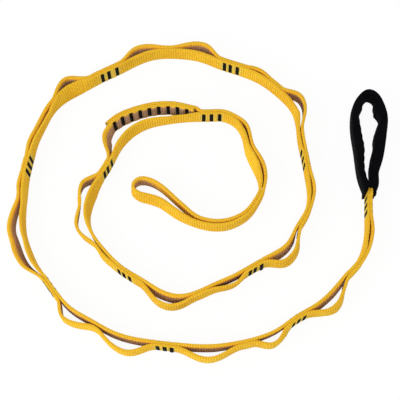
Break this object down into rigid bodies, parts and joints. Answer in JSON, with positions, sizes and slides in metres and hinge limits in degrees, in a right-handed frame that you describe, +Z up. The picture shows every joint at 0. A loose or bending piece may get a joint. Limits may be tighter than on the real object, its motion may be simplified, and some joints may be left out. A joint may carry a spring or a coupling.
{
  "type": "climbing daisy chain",
  "caption": "Sewn nylon webbing chain of clip-in pockets, laid on edge in a loose coil, with a sleeved harness loop at one end and a long plain clip-in loop at the other.",
  "frame": {"origin": "middle of the coil's footprint, on the table that the tape's lower edge rests on", "axes": "+Z up, off the table; +X to the right of the picture, towards the harness loop; +Y away from the camera"},
  "size_m": [0.3042, 0.2682, 0.0182],
  "materials": {
    "golden_webbing": "matt ribbed nylon tape, golden yellow",
    "black_thread": "dense black polyester stitching",
    "sleeve_fabric": "matt black woven sleeve"
  },
  "bodies": {
    "chain": {"group_01_bar_tack_1": "black_thread", "group_01_bar_tack_2": "black_thread", "group_01_bar_tack_3": "black_thread", "group_02_bar_tack_1": "black_thread", "group_02_bar_tack_2": "black_thread", "group_02_bar_tack_3": "black_thread", "group_03_bar_tack_1": "black_thread", "group_03_bar_tack_2": "black_thread", "group_03_bar_tack_3": "black_thread", "group_04_bar_tack_1": "black_thread", "group_04_bar_tack_2": "black_thread", "group_04_bar_tack_3": "black_thread", "group_05_bar_tack_1": "black_thread", "group_05_bar_tack_2": "black_thread", "group_05_bar_tack_3": "black_thread", "group_06_bar_tack_1": "black_thread", "group_06_bar_tack_2": "black_thread", "group_06_bar_tack_3": "black_thread", "group_07_bar_tack_1": "black_thread", "group_07_bar_tack_2": "black_thread", "group_07_bar_tack_3": "black_thread", "group_08_bar_tack_1": "black_thread", "group_08_bar_tack_2": "black_thread", "group_08_bar_tack_3": "black_thread", "group_09_bar_tack_1": "black_thread", "group_09_bar_tack_2": "black_thread", "group_09_bar_tack_3": "black_thread", "group_10_bar_tack_1": "black_thread", "group_10_bar_tack_2": "black_thread", "group_10_bar_tack_3": "black_thread", "group_11_bar_tack_1": "black_thread", "group_11_bar_tack_2": "black_thread", "group_11_bar_tack_3": "black_thread", "group_12_bar_tack_1": "black_thread", "group_12_bar_tack_2": "black_thread", "group_12_bar_tack_3": "black_thread", "inner_strand_pockets_01_to_04": "golden_webbing", "inner_strand_pockets_05_to_08": "golden_webbing", "inner_strand_pockets_09_to_11": "golden_webbing", "outer_strand_pockets_01_02": "golden_webbing", "outer_strand_pockets_03_04": "golden_webbing", "outer_strand_pockets_05_06": "golden_webbing", "outer_strand_pockets_07_08": "golden_webbing", "outer_strand_pockets_09_10": "golden_webbing", "splice_bar_tack_1": "black_thread", "splice_bar_tack_2": "black_thread", "splice_bar_tack_3": "black_thread", "splice_bar_tack_4": "black_thread", "splice_bar_tack_5": "black_thread", "splice_bar_tack_6": "black_thread", "splice_bar_tack_7": "black_thread", "splice_bar_tack_8": "black_thread", "splice_bar_tack_9": "black_thread", "splice_outer_end": "golden_webbing", "splice_tucked_end": "golden_webbing"},
    "harness_loop": {"harness_loop_webbing": "golden_webbing", "protective_sleeve": "sleeve_fabric"},
    "end_loop": {"end_loop_webbing": "golden_webbing"}
  },
  "joints": [
    {"name": "harness_fold", "type": "hinge", "parent": "chain", "child": "harness_loop", "pos_m": [0.13466, -0.00025, 0], "axis": [0, 0, 1], "range_deg": [-50, 15]},
    {"name": "end_fold", "type": "hinge", "parent": "chain", "child": "end_loop", "pos_m": [0.02024, 0.06907, 0], "axis": [0, 0, 1], "range_deg": [-5, 18]}
  ]
}
